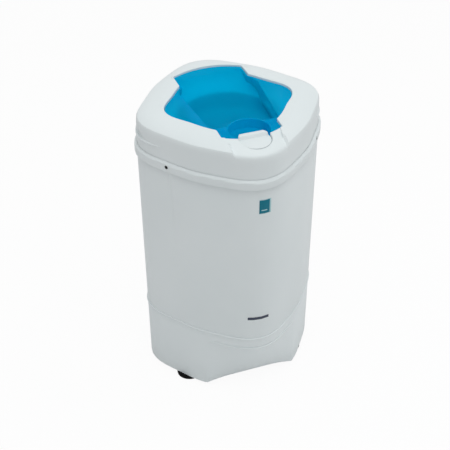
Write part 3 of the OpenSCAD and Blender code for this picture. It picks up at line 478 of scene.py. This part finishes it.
# ---- Label and badge place ----
# A plain teal film with a pale border and one pale bar, and a plain dark bar further down. Both
# are thin printed films, pressed onto the front of the shell.
film = Finish("label", Coat_Weight=0.1, Coat_Roughness=0.15, Specular_IOR_Level=0.2)
label_height, border_across, border_up = 0.513, 0.0114, 0.0159
bar_height, bar_across, bar_up = 0.5045, 0.006, 0.0012
place_x = film.node("ShaderNodeSeparateXYZ", {}, {0: film.place}, "X")
across, up = abs(place_x), place_x.output("Z")
border = (across > border_across) | (abs(up - label_height) > border_up)
bar = (across < bar_across) * (abs(up - bar_height) < bar_up)
teal = film.blend(
    film.spread(film.noise(scale=40.0), 0.0, 1.0), colour(4, 110, 130), colour(10, 118, 138))
film.set(Base_Color=film.blend(border | bar, teal, colour(170, 208, 212)),
         Roughness=film.spread(film.noise(scale=300.0), 0.3, 0.4))
film.paint(finer("front_label", width=0.2))
print_ink = Finish("badge", Coat_Weight=0.3, Coat_Roughness=0.2).grain(
    colour(34, 44, 66), colour(44, 54, 76), scale=200.0, rough=(0.35, 0.45), depth=0.00001)
print_ink.paint(finer("front_badge", width=0.3))


# ---- Lid ----
# A dished lid of clear blue styrene with a deep recess and a finger well behind the latch. Two
# steel pins at its back ear are the hinge. The drum's mouth shows through it, darker.
blue = Finish("blue_clear", Roughness=0.16, IOR=1.5, Specular_Tint=(0.0, 0.75, 1.0, 1.0),
              Specular_IOR_Level=0.03)
cloud = blue.noise(scale=9.0)
blue.set(Base_Color=blue.blend(
    blue.spread(cloud, 0.0, 1.0), (0.0, 0.53, 0.92, 1.0), (0.0, 0.57, 0.96, 1.0)))
clear_tint = (0.0, 0.91, 0.98, 1.0)
clear = blue.node("ShaderNodeBsdfTransparent", {}, {"Color": clear_tint})
frosted = blue.node("ShaderNodeBsdfRefraction", {}, {
    "Color": clear_tint, "Roughness": 0.6, "IOR": 1.3})
see_through = blue.mix(blue.light_path("Is Camera Ray"), clear, frosted)
blue.show(blue.mix(blue.spread(cloud, 0.30, 0.33), see_through, blue.surface))

# The lid's top, and the two places that are raised to it: the field beside the knob and the step
# behind the recess, each with its height, half width and reach from front to back.
LID_TOP, LEVEL_WITHIN = 0.6405, 0.0002
FIELD_Z, FIELD_HALF, FIELD_BACK = 0.629, 0.0581, -0.1029
STEP_Z, STEP_HALF, STEP_FRONT, STEP_BACK = 0.6375, 0.0705, 0.117, 0.1195


def level_top(x, y, z):
    """The lid's low field beside the knob and the step behind its recess, raised flush with its top."""
    beside_knob = y < FIELD_BACK and abs(x) < FIELD_HALF and abs(z - FIELD_Z) < LEVEL_WITHIN
    behind_recess = (
        STEP_FRONT < y < STEP_BACK and abs(x) < STEP_HALF and abs(z - STEP_Z) < LEVEL_WITHIN)
    return x, y, LID_TOP if beside_knob or behind_recess else z


blue.paint(finer("lid", width=1.2, steps=3, sharp=25.0, trim=level_top))
zinc.paint(frame["nodes"]["hinge_pin_left"], frame["nodes"]["hinge_pin_right"])


# ---- Latch, cam and lid switch ----
# The white knob, a flat disc with a grip bar, turns in the lid's tongue. The cam that a screw
# holds below it pushes the brake rod down and works the red plunger of the lid switch.
DISC_TOP, DISC_RAISED = 0.6325, 0.6345


def proud_disc(x, y, z):
    """The knob's disc, raised so that its rim shows over the latch platform."""
    return x, y, DISC_RAISED if abs(z - DISC_TOP) < 0.1 * MM else z


white.paint(finer("latch_knob", trim=proud_disc))
grey.paint(frame["nodes"]["latch_cam"])
zinc.paint(frame["nodes"]["latch_screw"])
dark.paint(finer("lid_switch", width=0.4))
red = Finish("red_moulding").grain(
    colour(188, 58, 48), colour(196, 66, 54), scale=300.0, rough=(0.35, 0.45), depth=0.00002)
red.paint(frame["nodes"]["switch_plunger"])


# ---- Studio ----
# A plain white floor that keeps a faint shadow, a large soft lamp overhead, slightly to the
# right and in front, a weak low one at the right, and an even pale room. Camera, mirror and
# glass rays see a white backdrop.

# The floor lies a hair below the feet. The camera sees this share of plain white in it, and the
# rest as the lit surface, with the shadow.
FLOOR_SIZE, BELOW_FEET, BACKDROP_SHARE = 12.0, -0.0003, 0.94
bpy.ops.object.select_all(action="DESELECT")
bpy.ops.mesh.primitive_plane_add(size=FLOOR_SIZE, location=(0.0, 0.0, BELOW_FEET))
floor = bpy.context.object
floor.name = "studio_floor"
studio = Finish("studio_floor", Roughness=0.9, Specular_IOR_Level=0.1)
studio.set(Base_Color=studio.blend(
    studio.spread(studio.noise(scale=2.0), 0.0, 1.0), colour(246, 246, 246), colour(249, 249, 249)))
glow = studio.node("ShaderNodeEmission", {}, {"Strength": 1.0})
studio.show(studio.mix(studio.light_path("Is Camera Ray") * BACKDROP_SHARE, studio.surface, glow))
studio.paint(floor)


def soft_lamp(place, aim, size, watts, tint=(1.0, 1.0, 1.0)):
    """A square lamp at a place, turned towards its aim."""
    bpy.ops.object.light_add(type="AREA", location=place)
    lamp = bpy.context.object
    lamp.rotation_euler = (Vector(aim) - lamp.location).to_track_quat("-Z", "Y").to_euler()
    lamp.data.size, lamp.data.energy, lamp.data.color = size, watts, tint


soft_lamp((0.2, -0.35, 2.7), aim=(0.0, 0.0, 0.4), size=2.6, watts=28.0, tint=(0.95, 1.0, 1.0))
soft_lamp((1.5, -0.5, 0.2), aim=(0.1, -0.1, 0.1), size=0.5, watts=1.0)

world = bpy.data.worlds.new("room")
bpy.context.scene.world = world
room = Shading(world)
ray = room.light_path("Is Camera Ray")
sees_backdrop = ray | ray.output("Is Glossy Ray") | ray.output("Is Transmission Ray")
even_light = room.node("ShaderNodeBackground", {}, {
    "Color": (0.97, 0.97, 0.98, 1.0), "Strength": 0.54})
backdrop = room.node("ShaderNodeBackground", {}, {"Color": (1.0, 1.0, 1.0, 1.0)})
room.node("ShaderNodeOutputWorld", {}, {"Surface": room.mix(sees_backdrop, even_light, backdrop)})
bpy.context.scene.view_settings.view_transform = "Standard"
